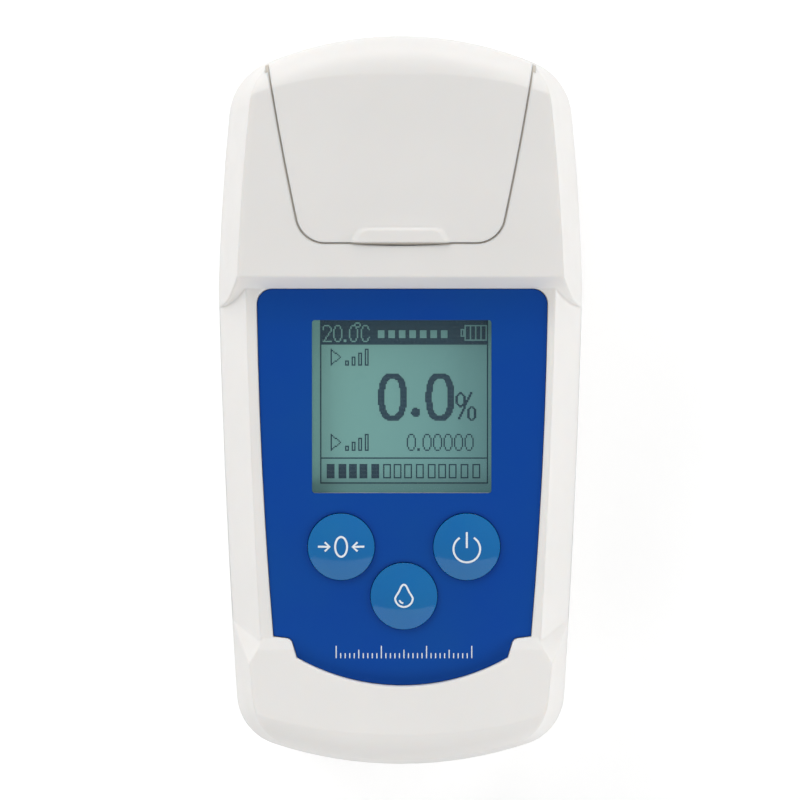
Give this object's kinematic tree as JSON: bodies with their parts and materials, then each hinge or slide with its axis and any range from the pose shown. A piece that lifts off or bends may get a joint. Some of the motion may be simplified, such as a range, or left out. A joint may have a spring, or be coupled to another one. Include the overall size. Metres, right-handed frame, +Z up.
{
  "type": "brix refractometer",
  "caption": "Pocket digital refractometer with a hinged lid over a steel sample well, a grey display, round press keys and a battery cover in the back.",
  "frame": {"origin": "Centre of the bounding box in plan, on the plane that the rubber feet stand on.", "axes": "X across the case, Y along it towards the lid end, Z up out of the face with the keys and the display. The meter lies on its back."},
  "size_m": [0.065, 0.13, 0.039],
  "materials": {
    "case_white": "fine satin moulded plastic",
    "label_blue": "printed film, semi gloss",
    "window_clear": "clear gloss sheet",
    "display_grey": "grey green liquid crystal cell",
    "light_guide": "milky light guide",
    "black_plastic": "fine matte",
    "key_blue": "glossy domed plastic",
    "board_green": "solder mask",
    "steel": "plain steel",
    "stainless": "turned and polished stainless steel",
    "rubber_black": "soft matte rubber",
    "rubber_grey": "soft matte rubber",
    "prism_glass": "polished optical glass",
    "block_black": "black anodised",
    "lamp_clear": "clear amber resin",
    "lens_glass": "polished optical glass",
    "cell_jacket": "printed sleeve",
    "nickel": "bright nickel plate",
    "cable_amber": "polyimide film"
  },
  "bodies": {
    "body": {"rear_shell": "case_white", "front_shell": "case_white", "case_gasket": "rubber_grey", "case_screws": "steel", "rubber_feet": "rubber_black", "front_label": "label_blue", "display_window": "window_clear", "display_glass": "display_grey", "display_backlight": "light_guide", "display_bezel": "black_plastic", "key_switches": "black_plastic", "main_board": "board_green", "board_screws": "steel", "control_chip": "black_plastic", "lid_hinge_pin": "steel", "sample_well": "stainless", "prism": "prism_glass", "optics_block": "block_black", "optics_screws": "steel", "lamp": "lamp_clear", "focus_lens": "lens_glass", "light_sensor": "black_plastic", "sensor_board": "board_green", "temperature_probe": "nickel", "battery_cells": "cell_jacket", "battery_contacts": "nickel", "battery_springs": "nickel", "flat_cable": "cable_amber"},
    "lid": {"lid": "case_white", "lid_light_seal": "rubber_black"},
    "zero_key": {"zero_button": "key_blue"},
    "meas_key": {"meas_button": "key_blue"},
    "power_key": {"power_button": "key_blue"},
    "battery_cover": {"battery_door": "case_white"}
  },
  "joints": [
    {"name": "lid_hinge", "type": "hinge", "parent": "body", "child": "lid", "pos_m": [0, 0.0598, 0.0315], "axis": [-1, 0, 0], "range_deg": [0, 95]},
    {"name": "zero_press", "type": "slide", "parent": "body", "child": "zero_key", "axis": [0, 0.0558, -0.9984], "range_m": [0, 0.0005], "stiffness_N_per_m": 1500},
    {"name": "meas_press", "type": "slide", "parent": "body", "child": "meas_key", "axis": [0, 0.0558, -0.9984], "range_m": [0, 0.0005], "stiffness_N_per_m": 1500},
    {"name": "power_press", "type": "slide", "parent": "body", "child": "power_key", "axis": [0, 0.0558, -0.9984], "range_m": [0, 0.0005], "stiffness_N_per_m": 1500},
    {"name": "battery_cover_tilt", "type": "hinge", "parent": "body", "child": "battery_cover", "pos_m": [0, -0.0035, 0.001], "axis": [1, 0, 0], "range_deg": [0, 75]}
  ]
}
